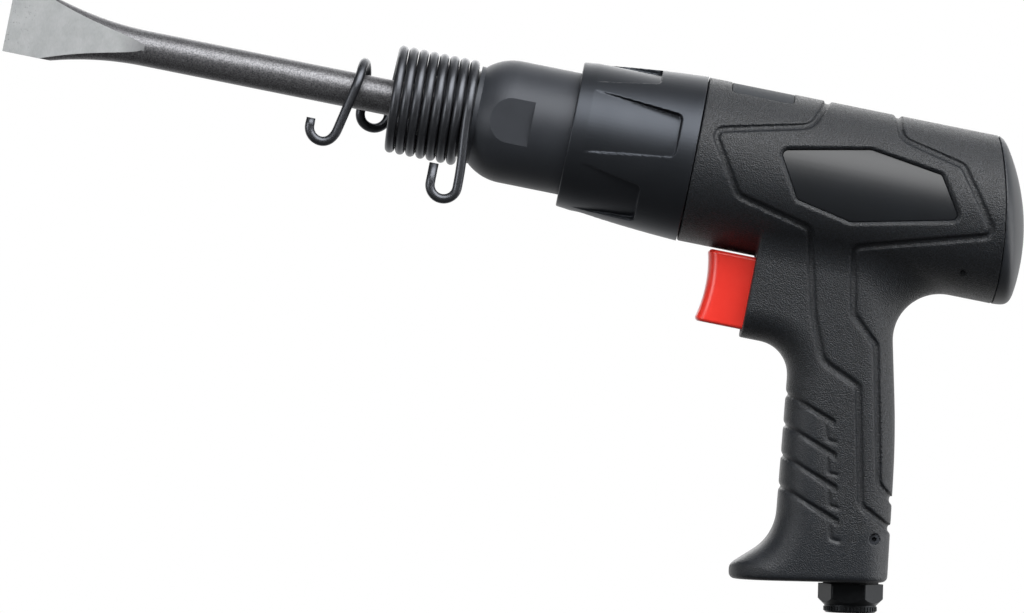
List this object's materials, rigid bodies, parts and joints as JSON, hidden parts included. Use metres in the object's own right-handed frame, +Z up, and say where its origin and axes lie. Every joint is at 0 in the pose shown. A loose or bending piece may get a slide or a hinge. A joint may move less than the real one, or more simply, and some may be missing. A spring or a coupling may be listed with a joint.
{
  "type": "air hammer",
  "caption": "Pistol-grip pneumatic hammer with a flat chisel held by a wire retainer spring, a turning exhaust collar, a sliding trigger and a threaded air inlet.",
  "frame": {"origin": "centre of the air inlet's mouth under the grip", "axes": "+X runs back along the barrel, the chisel points to -X, +Y runs across to the tool's right side, +Z is up"},
  "size_m": [0.3432, 0.0552, 0.1655],
  "materials": {
    "moulded_black": "moulded, pebble grain",
    "panel_satin": "satin",
    "red_gloss": "gloss",
    "black_oxide_steel": "black oxide, satin",
    "anthracite_alloy": "satin anthracite",
    "spring_black": "black satin",
    "forged_steel": "dark forged shaft, ground blade",
    "bright_steel": "ground",
    "aluminium_alloy": "turned",
    "brass": "turned",
    "rubber_black": "matt"
  },
  "bodies": {
    "tool": {"housing": "moulded_black", "end_cap": "moulded_black", "cap_seal": "rubber_black", "cap_pins": "black_oxide_steel", "side_panel_left": "panel_satin", "side_panel_right": "panel_satin", "top_plate": "panel_satin", "core_sleeve": "aluminium_alloy", "barrel": "black_oxide_steel", "collar_ring": "bright_steel", "collar_seal": "rubber_black", "retainer_spring": "spring_black", "valve_seat": "bright_steel", "valve_cover": "bright_steel", "valve_pins": "bright_steel", "cushion_ring": "rubber_black", "throttle_bush": "brass", "throttle_seal": "rubber_black", "throttle_spring": "bright_steel", "inlet_insert": "brass", "inlet_bushing": "black_oxide_steel", "inlet_washer": "rubber_black", "inlet_strainer": "brass", "inlet_lock_screw": "black_oxide_steel"},
    "chisel": {"chisel": "forged_steel"},
    "piston": {"piston": "bright_steel"},
    "valve_disc": {"valve_disc": "bright_steel"},
    "trigger": {"trigger": "red_gloss", "throttle_stem": "bright_steel", "throttle_poppet": "brass"},
    "collar": {"exhaust_collar": "anthracite_alloy"}
  },
  "joints": [
    {"name": "chisel_slide", "type": "slide", "parent": "tool", "child": "chisel", "axis": [-1, 0, 0], "range_m": [0, 0.015]},
    {"name": "piston_slide", "type": "slide", "parent": "tool", "child": "piston", "axis": [-1, 0, 0], "range_m": [0, 0.0645]},
    {"name": "valve_disc_slide", "type": "slide", "parent": "tool", "child": "valve_disc", "axis": [1, 0, 0], "range_m": [0, 0.001]},
    {"name": "trigger_slide", "type": "slide", "parent": "tool", "child": "trigger", "axis": [1, 0, 0], "range_m": [0, 0.0065], "stiffness_N_per_m": 1500, "springref_m": -0.004, "deforming": ["throttle_spring"]},
    {"name": "collar_turn", "type": "hinge", "parent": "tool", "child": "collar", "pos_m": [-0.1, 0, 0.13649], "axis": [1, 0, 0], "continuous": true}
  ]
}
